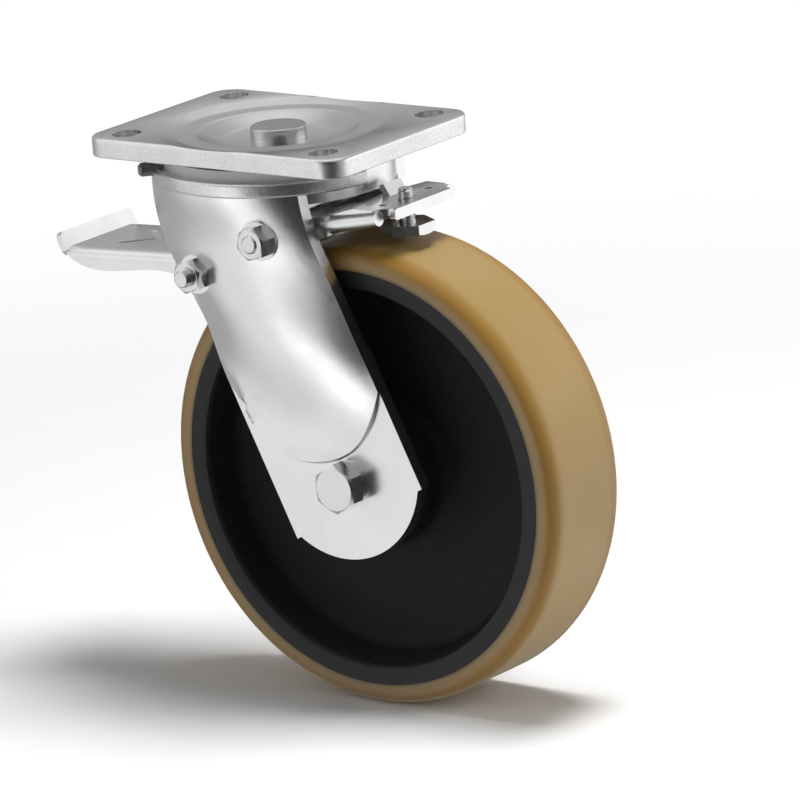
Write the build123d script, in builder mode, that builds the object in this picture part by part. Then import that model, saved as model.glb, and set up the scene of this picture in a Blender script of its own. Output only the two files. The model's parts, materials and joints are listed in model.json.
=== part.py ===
from build123d import *
import math
import os

# Sizes are millimetres. The origin is the centre of the plate's top face, on the swivel axis.
# X runs along the wheel axle, the wheel trails towards -Y, the pedal points towards +Y.

# Top plate
plate_length = 135.0
plate_width = 100.0
plate_thickness = 8.5
plate_corner_radius = 11.0
plate_edge_round = 1.4
slot_width = 11.0
slot_length = 13.5
slot_spacing_x = 75.0
slot_spacing_y = 105.0
dish_radius = 52.0
dish_ring_depth = 1.7
basin_radius = 35.0
basin_floor_radius = 24.0
kingpin_head_height = 5.0
kingpin_head_sink = 0.3

# Swivel bearing
kingpin_radius = 10.0
kingpin_head_radius = 12.0
swivel_gap = 0.6
upper_pitch_radius = 38.5
upper_ball_radius = 4.0
upper_ball_depth = 12.0
upper_ball_count = 20
lower_pitch_radius = 21.0
lower_ball_radius = 3.2
lower_ball_count = 14
lower_race_radius = 28.0
lower_race_thickness = 5.0
lower_race_gap = 3.8
lower_ball_rise = 1.3
kingpin_tail = 2.5
ball_seat_gap = 0.02
ball_run_gap = 0.3
nut_height_kingpin = 5.0
nut_flats_kingpin = 30.0

# Fork crown
crown_top = -13.7
crown_radius = 54.0
crown_drop = 1.3
crown_thickness = 5.0
sheet = 6.0
crown_cup_radius = 49.0
crown_cup_bottom = -25.0
crown_cup_wall = 5.0
rear_window_start = -100.0
rear_window_end = -30.0

# Seal, nipple and lock ring
seal_outer_radius = 50.2
seal_wall = 2.2
lock_ring_outer = 47.4
lock_ring_width = 4.0
lock_ring_height = 4.0
lock_tooth_count = 36
lock_tooth_width = 2.4
lock_tooth_depth = 2.0
nipple_angle = 134.0
nipple_length = 7.0
nipple_radius = 3.0
nipple_height = -14.2

# Wheel and axle
wheel_radius = 100.0
wheel_width = 50.0
wheel_headroom = 45.0
wheel_side_gap = 3.5
trail = 50.0
tyre_thickness = 9.0
tyre_shoulder_width = 7.0
tyre_shoulder_drop = 2.0
tyre_side_drop = 5.0
rim_face_width = 7.5
rim_slope_width = 4.0
wheel_web_thickness = 13.0
hub_wall = 4.5
hub_overhang = 1.8
bearing_recess = 0.6
bearing_radius = 23.5
bearing_bore_radius = 10.0
bearing_ring_wall = 4.0
bearing_width = 14.0
bearing_ball_radius = 3.4
bearing_ball_count = 8
shield_thickness = 0.9
axle_radius = 6.0
axle_head_flats = 19.0
axle_head_height = 7.5
axle_nut_height = 10.8
axle_tail = 14.0
washer_thickness = 2.5
washer_radius = 10.3
bolt_slip = 0.1

# Fork legs
leg_half_width = 42.3
leg_knee_y = -12.5
leg_knee_z = -62.0
leg_front_reach = 42.7
leg_rear_reach = 39.1
leg_axle_offset = -0.9
foot_bottom = 33.3
foot_notch = 2.4
bulge_end_rise = 45.5
bulge_end_shift = -2.65
bulge_end_radius = 38.0
bulge_end_round = 12.0
bulge_end_depth = 7.4

# Pivots of the brake arm and the pedal
arm_pivot_y = -20.0
arm_pivot_z = -39.5
arm_pad_rise = 9.5
arm_bolt_tail = 7.6
pedal_pivot_y = 18.5
pedal_pivot_z = -58.0
pedal_pad_rise = 6.0
pedal_bolt_tail = 10.5
pad_radius = 8.6
sleeve_radius = 6.0
sleeve_run_gap = 0.06
pivot_bolt_radius = 4.0
pivot_flats = 13.0
pivot_head_height = 5.3
pivot_nut_height = 6.8

# Pedal
pedal_half_width = 25.0
pedal_sheet = 3.0
pedal_corner_round = 5.0
pedal_web_z = -54.7
pedal_web_fall = 2.8
pedal_tip_y = 102.5
pedal_web_end_y = 32.0
pedal_lip_round = 3.5
pedal_depth = 14.3
lip_height = 10.5
lip_lean = math.radians(24)
mark_tip_y = 72.0
mark_length = 13.0
mark_half_width = 12.0
mark_stroke = 4.0
pedal_mark_depth = 0.7
ear_pivot_radius = 9.2
ear_rod_radius = 6.0
rod_y = 10.0
rod_z = -51.5
rod_radius = 4.0

# Brake arm
arm_inner_face = 26.0
arm_sheet = 3.0
head_top = -26.5
head_rear_y = -75.0
head_front_y = -57.0
head_corner_round = 8.0
head_flange_width = 41.0
head_flange_height = 4.8
dimple_offset = 16.3
lock_tab_width = 12.0
lock_tab_middle_x = 4.5
lock_tab_top = -21.5
roll_start_y = -70.0
roll_end_y = -42.0
roll_start_radius = 3.2
roll_end_radius = 4.0
arm_ear_radius = 9.4
screw_y = -65.5
screw_radius = 3.6
screw_top = -22.5
screw_flats = 20.5
screw_head_top = -37.0
screw_head_height = 5.0

# What follows from these sizes
basin_floor = -kingpin_head_height - kingpin_head_sink
crown_middle = crown_top - crown_drop
crown_under = crown_middle - crown_thickness
axle_height = -(wheel_radius + wheel_headroom)
rim_radius = wheel_radius - tyre_thickness
rim_lip_radius = rim_radius - rim_face_width
hub_radius = bearing_radius + hub_wall
hub_half_length = wheel_width / 2 + hub_overhang
bearing_face = hub_half_length - bearing_recess
bearing_pitch_radius = (bearing_bore_radius + bearing_radius) / 2
leg_inner_face = wheel_width / 2 + wheel_side_gap
leg_plate_face = leg_inner_face + sheet
leg_slope = (leg_knee_y + trail - leg_axle_offset) / (leg_knee_z - axle_height)
arm_pad_face = leg_plate_face + arm_pad_rise
pedal_pad_face = leg_plate_face + pedal_pad_rise
wheel_axis = Axis((0, -trail, axle_height), (1, 0, 0))
swivel_section = Plane.XZ
wheel_section = Plane(origin=(0, -trail, axle_height), x_dir=(1, 0, 0), z_dir=(0, -1, 0))


def cut_end_corner(face, radius, height, across, along):
    """Cone that takes the corner off the end of a piece standing on a plane."""
    section = Plane(origin=face.origin, x_dir=face.x_dir, z_dir=-face.y_dir)
    with BuildSketch(section) as corner:
        with BuildLine():
            Polyline(
                (radius - across, height),
                (radius, height),
                (radius, height - along),
                close=True,
            )
        make_face()
    revolve(corner.sketch, axis=Axis(face.origin, face.z_dir), mode=Mode.SUBTRACT)


def hexagon_piece(face, across_flats, height, turn=0.0):
    """Hexagon standing on a plane, its outer corners cut by a 30 degree cone."""
    with BuildSketch(face) as outline:
        RegularPolygon(across_flats / 2, 6, major_radius=False, rotation=turn)
    extrude(outline.sketch, amount=height)
    corner_radius = across_flats / math.sqrt(3) + 0.5
    across = corner_radius - across_flats / 2 + 0.4
    cut_end_corner(face, corner_radius, height, across, across * math.tan(math.radians(30)))


def round_bar(face, radius, length, end_chamfer=0.0):
    """Round bar standing on a plane, with a chamfer on its far end."""
    with BuildSketch(face) as disc:
        Circle(radius)
    extrude(disc.sketch, amount=length)
    if end_chamfer:
        cut_end_corner(face, radius, length, end_chamfer, end_chamfer)


def side_plane(y, z, x, outward):
    """Plane across X at one point, facing -X or +X."""
    return Plane(origin=(x, y, z), x_dir=(0, 1, 0), z_dir=(outward, 0, 0))


# Top plate: rounded rectangle, pressed dish above, boss and ball groove below
with BuildPart() as top_plate:
    with BuildSketch(Plane.XY.offset(-plate_thickness)):
        RectangleRounded(plate_width, plate_length, plate_corner_radius)
    extrude(amount=plate_thickness)
    fillet(top_plate.faces().sort_by(Axis.Z)[-1].edges(), plate_edge_round)
    fillet(top_plate.faces().sort_by(Axis.Z)[0].edges(), plate_edge_round / 2)
    with BuildSketch(swivel_section):
        with BuildLine():
            dish = FilletPolyline(
                (dish_radius + 4, 0.6),
                (dish_radius - 8, -dish_ring_depth),
                (basin_radius, -dish_ring_depth),
                (basin_floor_radius, basin_floor),
                (0, basin_floor),
                radius=7,
            )
            Polyline(dish @ 1, (0, 3), (dish_radius + 4, 3), dish @ 0)
        make_face()
    revolve(axis=Axis.Z, mode=Mode.SUBTRACT)
    with BuildSketch(swivel_section):
        with BuildLine():
            Polyline(
                (0, -plate_thickness + 1),
                (0, crown_top),
                (basin_floor_radius, crown_top),
                (basin_floor_radius + 7, -plate_thickness),
                (basin_floor_radius + 7, -plate_thickness + 1),
                close=True,
            )
        make_face()
    revolve(axis=Axis.Z)
    with BuildSketch(swivel_section):
        with Locations((upper_pitch_radius, -upper_ball_depth)):
            Circle(upper_ball_radius + ball_run_gap)
    revolve(axis=Axis.Z, mode=Mode.SUBTRACT)
    with BuildSketch(Plane.XY.offset(-plate_thickness)):
        with GridLocations(slot_spacing_x, slot_spacing_y, 2, 2):
            SlotOverall(slot_length, slot_width)
    extrude(amount=plate_thickness, mode=Mode.SUBTRACT)
    with BuildSketch(Plane.XY.offset(crown_top)):
        Circle(kingpin_radius)
    extrude(amount=-crown_top, mode=Mode.SUBTRACT)

# Kingpin: flat round head in the dish, shank through plate and crown
with BuildPart() as kingpin:
    with BuildSketch(Plane.XY.offset(basin_floor)):
        Circle(kingpin_head_radius)
    extrude(amount=kingpin_head_height)
    fillet(kingpin.edges().sort_by(Axis.Z)[-1], 0.8)
    race_bottom = crown_under - lower_race_gap - lower_race_thickness
    kingpin_end = race_bottom - nut_height_kingpin - kingpin_tail
    round_bar(
        Plane(origin=(0, 0, basin_floor), z_dir=(0, 0, -1)),
        kingpin_radius,
        basin_floor - kingpin_end,
        1.5,
    )

# Kingpin nut under the lower race
with BuildPart() as kingpin_nut:
    hexagon_piece(
        Plane(origin=(0, 0, race_bottom), z_dir=(0, 0, -1)),
        nut_flats_kingpin,
        nut_height_kingpin,
    )
    with BuildSketch(Plane.XY.offset(race_bottom)):
        Circle(kingpin_radius)
    extrude(amount=-nut_height_kingpin, mode=Mode.SUBTRACT)

# Lower race: ring with a ball groove in its top
lower_ball_height = race_bottom + lower_race_thickness + lower_ball_rise
with BuildPart() as lower_race:
    with BuildSketch(Plane.XY.offset(race_bottom)):
        Circle(lower_race_radius)
        Circle(kingpin_radius, mode=Mode.SUBTRACT)
    extrude(amount=lower_race_thickness)
    with BuildSketch(swivel_section):
        with Locations((lower_pitch_radius, lower_ball_height)):
            Circle(lower_ball_radius + ball_run_gap)
    revolve(axis=Axis.Z, mode=Mode.SUBTRACT)
    chamfer(lower_race.edges().filter_by(GeomType.CIRCLE).group_by(SortBy.RADIUS)[-1], 1.0)

# Swivel balls
with BuildPart() as upper_balls:
    with Locations((0, 0, -upper_ball_depth)):
        with PolarLocations(upper_pitch_radius, upper_ball_count):
            Sphere(upper_ball_radius)

with BuildPart() as lower_balls:
    with Locations((0, 0, lower_ball_height)):
        with PolarLocations(lower_pitch_radius, lower_ball_count):
            Sphere(lower_ball_radius)

# Seal ring between plate and crown
with BuildPart() as seal_ring:
    with BuildSketch(Plane.XY.offset(crown_top)):
        Circle(seal_outer_radius)
        Circle(seal_outer_radius - seal_wall, mode=Mode.SUBTRACT)
    extrude(amount=-plate_thickness - 0.4 - crown_top)

# Toothed ring of the swivel lock, under the plate
lock_ring_bottom = -plate_thickness - lock_ring_height
with BuildPart() as lock_ring:
    with BuildSketch(Plane.XY.offset(lock_ring_bottom)):
        Circle(lock_ring_outer)
        Circle(lock_ring_outer - lock_ring_width, mode=Mode.SUBTRACT)
    extrude(amount=lock_ring_height)
    with BuildSketch(Plane.XY.offset(lock_ring_bottom)):
        with PolarLocations(lock_ring_outer, lock_tooth_count):
            Rectangle(2 * lock_tooth_depth, lock_tooth_width)
    extrude(amount=lock_ring_height / 2, mode=Mode.SUBTRACT)


def leg_profile(height, centre_y, edge, crest):
    """Outer face of one leg at one height: flat wings at the edge, an arc to the crest between."""
    wing = leg_half_width + 12
    with BuildSketch(Plane.XY.offset(height)) as profile:
        with BuildLine():
            outer = Polyline((-edge, centre_y - wing), (-edge, centre_y - leg_half_width + 1))
            arc = ThreePointArc(
                outer @ 1, (-crest, centre_y), (-edge, centre_y + leg_half_width - 1)
            )
            Polyline(
                arc @ 1,
                (-edge, centre_y + wing),
                (-10, centre_y + wing),
                (-10, centre_y - wing),
                outer @ 0,
            )
        make_face()
    return profile.sketch


def leg_middle(height):
    """Middle of the slanted leg in Y at one height."""
    return leg_axle_offset - trail + leg_slope * (height - axle_height)


# Plane across the slanted leg, through the centre of the bulge's rounded end
bulge_end_z = axle_height + bulge_end_rise
bulge_end_centre = (leg_middle(bulge_end_z) + bulge_end_shift, bulge_end_z)
slant = math.atan(leg_slope)
leg_across = Plane(
    origin=(0, *bulge_end_centre),
    x_dir=(1, 0, 0),
    z_dir=(0, math.sin(slant), math.cos(slant)),
)
plate_overlap = 6.0

# Leg stations: height, middle of the leg in Y, face at the edges, face at the crest
leg_stations = (
    (crown_top - 0.3, 2.0, crown_radius - 19.0, crown_radius - 1.5),
    (crown_top - 13.3, 1.5, crown_radius - 18.0, crown_radius - 3.6),
    (-42.0, -1.8, leg_plate_face + 2.0, leg_plate_face + 11.2),
    (leg_knee_z, leg_knee_y, leg_plate_face + 0.3, leg_plate_face + 9.8),
    (axle_height + 50.0, leg_middle(axle_height + 50.0), leg_plate_face, leg_plate_face + 8.5),
    (axle_height + 5.0, leg_middle(axle_height + 5.0), leg_plate_face, leg_plate_face + 6.5),
    (axle_height - 40.0, leg_middle(axle_height - 40.0), leg_plate_face, leg_plate_face + 4.5),
)


def leg_envelope(inset):
    """Bulged body under the leg's face, moved inwards by the inset."""
    loft([leg_profile(z, y, edge - inset, crest - inset) for z, y, edge, crest in leg_stations])


def foot_room(face):
    """Room of the flat foot below the bulge, from inside the fork out to one face."""
    with BuildSketch(leg_across.offset(plate_overlap)) as foot:
        with Locations((-face / 2, 0)):
            Rectangle(face, 160)
    extrude(foot.sketch, amount=-140)


def leg_outline():
    """Side view of the leg, from the crown down to the rounded foot."""
    front_end_z = axle_height - 27.2
    rear_end_z = axle_height + 2.0
    rear_bend_z = leg_knee_z + 16.0
    front_end = (leg_middle(front_end_z) + leg_front_reach, front_end_z)
    rear_end = (leg_middle(rear_end_z) - leg_rear_reach, rear_end_z)
    notch = (foot_notch * math.cos(slant), foot_notch * math.sin(slant))
    with BuildSketch(Plane.YZ) as outline:
        with BuildLine():
            front = Line(front_end, (leg_middle(leg_knee_z) + leg_front_reach, leg_knee_z))
            upper = Spline(front @ 1, (40.5, crown_top - 1), tangents=(front % 1, (0.02, 1)))
            rear = Line((leg_middle(rear_bend_z) - leg_rear_reach, rear_bend_z), rear_end)
            side = Spline((-37.0, crown_top - 1), rear @ 0, tangents=((-0.02, -1), rear % 0))
            Line(upper @ 1, side @ 0)
            rear_step = Line(rear_end, (rear_end[0] + notch[0], rear_end[1] - notch[1]))
            front_step = Line((front_end[0] - notch[0], front_end[1] + notch[1]), front_end)
            ThreePointArc(rear_step @ 1, (-trail + 3.6, axle_height - foot_bottom), front_step @ 0)
        make_face()
    extrude(outline.sketch, amount=-70)


def bulge_limit(inset):
    """Room that the bulge fills: open upwards, ending in a dome round the bulge end's centre."""
    middle_y, middle_z = bulge_end_centre
    end_radius = bulge_end_radius - inset
    dome_section = Plane(origin=(0, middle_y, middle_z), x_dir=(1, 0, 0), z_dir=(0, -1, 0))
    dome_base = leg_plate_face - inset
    with BuildSketch(dome_section) as dome:
        with BuildLine():
            curve = EllipticalCenterArc(
                (-dome_base, end_radius - bulge_end_round),
                bulge_end_depth,
                bulge_end_round,
                start_angle=90,
                arc_size=90,
            )
            Polyline(curve @ 1, (-70, end_radius - bulge_end_round), (-70, 0), (0, 0))
            Polyline((0, 0), (0, end_radius), curve @ 0)
        make_face()
    revolve(dome.sketch, axis=Axis((0, middle_y, middle_z), (1, 0, 0)))
    with BuildSketch(leg_across) as upper:
        Rectangle(160, 160)
    extrude(upper.sketch, amount=160)


# Bulge of one leg, and the hollow behind it
with BuildPart() as bulge:
    leg_envelope(0)
    with BuildPart(mode=Mode.INTERSECT):
        bulge_limit(0)

with BuildPart() as bulge_hollow:
    leg_envelope(sheet)
    with BuildPart(mode=Mode.INTERSECT):
        bulge_limit(sheet)

# Sheet of one leg: outer skin less the hollow, cut to the side outline, pads at the pivots
pivots = (
    (arm_pivot_y, arm_pivot_z, arm_pad_face),
    (pedal_pivot_y, pedal_pivot_z, pedal_pad_face),
)
with BuildPart() as leg:
    foot_room(leg_plate_face)
    add(bulge.part)
    with BuildPart(mode=Mode.SUBTRACT):
        foot_room(leg_inner_face)
    add(bulge_hollow.part, mode=Mode.SUBTRACT)
    with BuildPart(mode=Mode.INTERSECT):
        leg_outline()
    for y, z, face in pivots:
        round_bar(side_plane(y, z, -face + sheet, -1), pad_radius, sheet)
    for y, z, face in pivots:
        with BuildSketch(side_plane(y, z, -face, -1)):
            Circle(pad_radius)
        extrude(amount=8, mode=Mode.SUBTRACT)
        with BuildSketch(side_plane(y, z, -face + sheet, 1)):
            Circle(sleeve_radius + 2)
        extrude(amount=8, mode=Mode.SUBTRACT)

# Fork: round crown with a rim and a cup under it, and the two legs
nipple_direction = Vector(1, 0, 0).rotate(Axis.Z, nipple_angle)
nipple_plane = Plane(
    origin=nipple_direction * seal_outer_radius + Vector(0, 0, nipple_height),
    z_dir=nipple_direction,
)
with BuildPart() as fork:
    with BuildSketch(swivel_section):
        with BuildLine():
            rim = FilletPolyline(
                (upper_pitch_radius - 6.0, crown_top),
                (crown_radius, crown_top),
                (crown_radius, crown_top - sheet),
                (crown_cup_radius, crown_top - sheet - 1.0),
                radius=1.2,
            )
            Polyline(
                rim @ 1,
                (crown_cup_radius, crown_cup_bottom),
                (crown_cup_radius - crown_cup_wall, crown_cup_bottom),
                (crown_cup_radius - crown_cup_wall - 1.0, crown_under),
                (0, crown_under),
                (0, crown_middle),
                (upper_pitch_radius - 7.5, crown_middle),
                rim @ 0,
            )
        make_face()
    revolve(axis=Axis.Z)
    with BuildPart(mode=Mode.SUBTRACT):
        with BuildSketch(Plane.XY.offset(crown_cup_bottom)):
            with BuildLine():
                start = math.radians(rear_window_start)
                end = math.radians(rear_window_end)
                Polyline(
                    (40 * math.cos(start), 40 * math.sin(start)),
                    (90 * math.cos(start), 90 * math.sin(start)),
                    (90 * math.cos(end), 90 * math.sin(end)),
                    (40 * math.cos(end), 40 * math.sin(end)),
                    close=True,
                )
            make_face()
            Circle(crown_cup_radius, mode=Mode.SUBTRACT)
        extrude(amount=20)
    add(leg.part)
    add(leg.part.mirror(Plane.YZ))
    with BuildSketch(swivel_section):
        with Locations((upper_pitch_radius, -upper_ball_depth)):
            Circle(upper_ball_radius + ball_seat_gap)
        with Locations((lower_pitch_radius, lower_ball_height)):
            Circle(lower_ball_radius + ball_seat_gap)
    revolve(axis=Axis.Z, mode=Mode.SUBTRACT)
    with BuildSketch(Plane.XY.offset(crown_under - 1)):
        Circle(kingpin_radius + swivel_gap)
    extrude(amount=10, mode=Mode.SUBTRACT)
    with BuildSketch(Plane.YZ):
        with Locations((-trail, axle_height)):
            Circle(axle_radius + bolt_slip)
        with Locations((arm_pivot_y, arm_pivot_z), (pedal_pivot_y, pedal_pivot_z)):
            Circle(pivot_bolt_radius + bolt_slip)
    extrude(amount=80, both=True, mode=Mode.SUBTRACT)
    with BuildSketch(nipple_plane):
        Circle(nipple_radius)
    extrude(amount=crown_radius - seal_outer_radius + 5, mode=Mode.SUBTRACT)

# Grease nipple, pointing out of the seal at the front left
with BuildPart() as grease_nipple:
    round_bar(nipple_plane, nipple_radius, crown_radius - seal_outer_radius + nipple_length, 1.2)

# Axle bolt and nut, washers under both
bolt_face = leg_plate_face + washer_thickness
with BuildPart() as axle_bolt:
    head_plane = side_plane(-trail, axle_height, -bolt_face, -1)
    hexagon_piece(head_plane, axle_head_flats, axle_head_height, 12.0)
    round_bar(
        side_plane(-trail, axle_height, -bolt_face, 1), axle_radius, 2 * bolt_face + axle_tail, 1.5
    )

with BuildPart() as axle_nut:
    hexagon_piece(
        side_plane(-trail, axle_height, bolt_face, 1), axle_head_flats, axle_nut_height, 5.0
    )
    with BuildSketch(side_plane(-trail, axle_height, bolt_face, 1)):
        Circle(axle_radius)
    extrude(amount=axle_nut_height, mode=Mode.SUBTRACT)

with BuildPart() as axle_washers:
    for side in (-1, 1):
        with BuildSketch(side_plane(-trail, axle_height, side * leg_plate_face, side)):
            Circle(washer_radius)
            Circle(axle_radius + bolt_slip, mode=Mode.SUBTRACT)
        extrude(amount=washer_thickness)

# Sleeve over the axle bolt, between the legs
with BuildPart() as axle_sleeve:
    with BuildSketch(side_plane(-trail, axle_height, -leg_inner_face, 1)):
        Circle(bearing_bore_radius)
        Circle(axle_radius + bolt_slip, mode=Mode.SUBTRACT)
    extrude(amount=2 * leg_inner_face)

# Ball bearings of the wheel: rings, balls and shields, both sides
bearing_middle = bearing_face - bearing_width / 2


def ring_profile(inner, outer, start, end):
    """Ring section in the wheel's half plane and its mirror on the other side."""
    for side in (-1, 1):
        with BuildSketch(wheel_section) as ring:
            with BuildLine():
                Polyline(
                    (side * start, inner),
                    (side * end, inner),
                    (side * end, outer),
                    (side * start, outer),
                    close=True,
                )
            make_face()
        revolve(ring.sketch, axis=wheel_axis)


def ball_groove(groove_radius):
    """Groove of the ball track in both bearings."""
    for side in (-1, 1):
        with BuildSketch(wheel_section) as groove:
            with Locations((side * bearing_middle, bearing_pitch_radius)):
                Circle(groove_radius)
        revolve(groove.sketch, axis=wheel_axis, mode=Mode.SUBTRACT)


bearing_start = bearing_face - bearing_width
inner_ring_radius = bearing_bore_radius + bearing_ring_wall
outer_ring_bore = bearing_radius - bearing_ring_wall
with BuildPart() as bearing_inner_rings:
    ring_profile(bearing_bore_radius, inner_ring_radius, bearing_start, bearing_face)
    ball_groove(bearing_ball_radius + ball_run_gap)

with BuildPart() as bearing_outer_rings:
    ring_profile(outer_ring_bore, bearing_radius, bearing_start, bearing_face)
    ball_groove(bearing_ball_radius + ball_seat_gap)

with BuildPart() as bearing_balls:
    for side in (-1, 1):
        with Locations(side_plane(-trail, axle_height, side * bearing_middle, side)):
            with PolarLocations(bearing_pitch_radius, bearing_ball_count):
                Sphere(bearing_ball_radius)

with BuildPart() as bearing_shields:
    shield_face = bearing_face - 0.5
    ring_profile(inner_ring_radius + 0.4, outer_ring_bore, shield_face - shield_thickness, shield_face)

# Wheel centre: rim, dished web and hub in one casting
with BuildPart() as wheel_centre:
    half = wheel_width / 2
    with BuildSketch(wheel_section):
        with BuildLine():
            outline = FilletPolyline(
                (hub_half_length, bearing_radius),
                (hub_half_length, hub_radius),
                (wheel_web_thickness / 2 + 5.5, hub_radius + 4.0),
                (wheel_web_thickness / 2 + 1.0, (hub_radius + rim_lip_radius) / 2),
                (wheel_web_thickness / 2, rim_lip_radius - rim_slope_width - 7.5),
                (wheel_web_thickness / 2 + 2.5, rim_lip_radius - rim_slope_width),
                (half - 0.8, rim_lip_radius),
                (half, rim_lip_radius + 0.8),
                (half, rim_radius),
                radius=0.75,
            )
            mirror(outline, about=Plane.YZ)
            Line((half, rim_radius), (-half, rim_radius))
            Line((hub_half_length, bearing_radius), (-hub_half_length, bearing_radius))
        make_face()
    revolve(axis=wheel_axis)
    ring_profile(outer_ring_bore + 0.1, bearing_radius + 1, -0.5, bearing_start)

# Tyre
with BuildPart() as tyre:
    with BuildSketch(wheel_section):
        with BuildLine():
            crown_half = half - tyre_shoulder_width
            side_radius = wheel_radius - tyre_side_drop
            Line((-crown_half, wheel_radius), (crown_half, wheel_radius))
            for side in (-1, 1):
                Spline(
                    (side * crown_half, wheel_radius),
                    (side * (half - tyre_shoulder_width / 3), wheel_radius - tyre_shoulder_drop),
                    (side * half, side_radius),
                    tangents=((side, 0), (0, -1)),
                )
                Line((side * half, side_radius), (side * half, rim_radius))
            Line((half, rim_radius), (-half, rim_radius))
        make_face()
    revolve(axis=wheel_axis)


def pivot_bolt(y, z, pad_face, tail):
    """Head on the far leg, shank through both legs, threaded tail beyond the nut."""
    hexagon_piece(side_plane(y, z, pad_face, 1), pivot_flats, pivot_head_height, 8.0)
    round_bar(side_plane(y, z, pad_face, -1), pivot_bolt_radius, 2 * pad_face + tail, 1.2)


def pivot_nut(y, z, pad_face, turn):
    """Hexagon nut on the near leg's pad."""
    hexagon_piece(side_plane(y, z, -pad_face, -1), pivot_flats, pivot_nut_height, turn)
    with BuildSketch(side_plane(y, z, -pad_face, -1)) as bore:
        Circle(pivot_bolt_radius)
    extrude(bore.sketch, amount=pivot_nut_height, mode=Mode.SUBTRACT)


def pivot_sleeve(y, z, inner_face):
    """Tube between the legs that the lever turns on."""
    with BuildSketch(side_plane(y, z, -inner_face, 1)) as tube:
        Circle(sleeve_radius)
        Circle(pivot_bolt_radius + bolt_slip, mode=Mode.SUBTRACT)
    extrude(tube.sketch, amount=2 * inner_face)


# Pivot of the brake arm
with BuildPart() as arm_bolt:
    pivot_bolt(arm_pivot_y, arm_pivot_z, arm_pad_face, arm_bolt_tail)

with BuildPart() as arm_nut:
    pivot_nut(arm_pivot_y, arm_pivot_z, arm_pad_face, 16.0)

with BuildPart() as arm_sleeve:
    pivot_sleeve(arm_pivot_y, arm_pivot_z, arm_pad_face - sheet)

# Pivot of the pedal
with BuildPart() as pedal_bolt:
    pivot_bolt(pedal_pivot_y, pedal_pivot_z, pedal_pad_face, pedal_bolt_tail)

with BuildPart() as pedal_nut:
    pivot_nut(pedal_pivot_y, pedal_pivot_z, pedal_pad_face, 20.0)

with BuildPart() as pedal_sleeve:
    pivot_sleeve(pedal_pivot_y, pedal_pivot_z, pedal_pad_face - sheet)

# Pedal: channel open downwards, lip at the tip, two ears with the pivot and the push rod
pedal_slope = pedal_web_fall / (pedal_tip_y - pedal_web_end_y)
lip_root_y = pedal_tip_y - 1.5


def pedal_web_height(y):
    """Top of the pedal's web, which falls slightly towards the tip."""
    return pedal_web_z - pedal_slope * (y - pedal_web_end_y)


with BuildPart() as pedal:
    with BuildSketch(Plane.YZ):
        with BuildLine():
            web = Line(
                (pedal_web_end_y, pedal_web_height(pedal_web_end_y)),
                (pedal_tip_y, pedal_web_height(pedal_tip_y)),
            )
            belly = Spline(
                web @ 1 - (0, 2.5),
                web @ 1 - (8.0, 6.8),
                (75.0, pedal_web_z - 10.8),
                (pedal_web_end_y, pedal_web_z - pedal_depth),
            )
            Line(web @ 1, belly @ 0)
            Line(belly @ 1, web @ 0)
        make_face()
    extrude(amount=pedal_half_width, both=True)
    long_edges = pedal.edges().filter_by(lambda edge: edge.length > 60).group_by(Axis.Z)[-1]
    fillet(long_edges, pedal_corner_round)
    with BuildSketch(Plane.YZ):
        with BuildLine():
            Polyline(
                (pedal_web_end_y - 1, pedal_web_height(pedal_web_end_y - 1) - pedal_sheet),
                (pedal_tip_y + 1, pedal_web_height(pedal_tip_y + 1) - pedal_sheet),
                (pedal_tip_y + 1, pedal_web_z - 25),
                (pedal_web_end_y - 1, pedal_web_z - 25),
                close=True,
            )
        make_face()
    extrude(amount=pedal_half_width - pedal_sheet, both=True, mode=Mode.SUBTRACT)
    lip_plane = Plane(
        origin=(0, lip_root_y, pedal_web_height(lip_root_y) - pedal_sheet),
        x_dir=(1, 0, 0),
        z_dir=(0, math.cos(lip_lean), -math.sin(lip_lean)),
    )
    with BuildSketch(lip_plane):
        with Locations((0, -lip_height / 2)):
            RectangleRounded(2 * pedal_half_width, lip_height, pedal_lip_round)
    extrude(amount=pedal_sheet)
    with BuildSketch(Plane.XY.offset(pedal_web_z + 1)):
        with BuildLine():
            Polyline(
                (-mark_half_width, mark_tip_y + mark_length),
                (0, mark_tip_y),
                (mark_half_width, mark_tip_y + mark_length),
                (mark_half_width, mark_tip_y + mark_length - mark_stroke),
                (0, mark_tip_y - mark_stroke),
                (-mark_half_width, mark_tip_y + mark_length - mark_stroke),
                close=True,
            )
        make_face()
    mark_floor = pedal_web_height(mark_tip_y) - pedal_mark_depth
    extrude(amount=mark_floor - pedal_web_z - 1, mode=Mode.SUBTRACT)
    for side in (-1, 1):
        with BuildSketch(Plane.YZ.offset(side * pedal_half_width)):
            with BuildLine():
                Polyline(
                    (pedal_web_end_y + 1, pedal_web_z - 2.3),
                    (pedal_pivot_y - 5, pedal_pivot_z + ear_pivot_radius - 1.2),
                    (rod_y, rod_z + ear_rod_radius),
                    (rod_y - ear_rod_radius, rod_z - 2),
                    (pedal_pivot_y - ear_pivot_radius + 0.2, pedal_pivot_z - 4),
                    (pedal_pivot_y, pedal_pivot_z - ear_pivot_radius + 0.2),
                    (pedal_web_end_y + 1, pedal_web_z - pedal_depth),
                    close=True,
                )
            make_face()
            with Locations((pedal_pivot_y, pedal_pivot_z)):
                Circle(ear_pivot_radius)
            with Locations((rod_y, rod_z)):
                Circle(ear_rod_radius)
        extrude(amount=-side * pedal_sheet)
    with BuildSketch(Plane.YZ):
        with Locations((pedal_pivot_y, pedal_pivot_z)):
            Circle(sleeve_radius + sleeve_run_gap)
        with Locations((rod_y, rod_z)):
            Circle(rod_radius)
    extrude(amount=40, both=True, mode=Mode.SUBTRACT)

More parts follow.
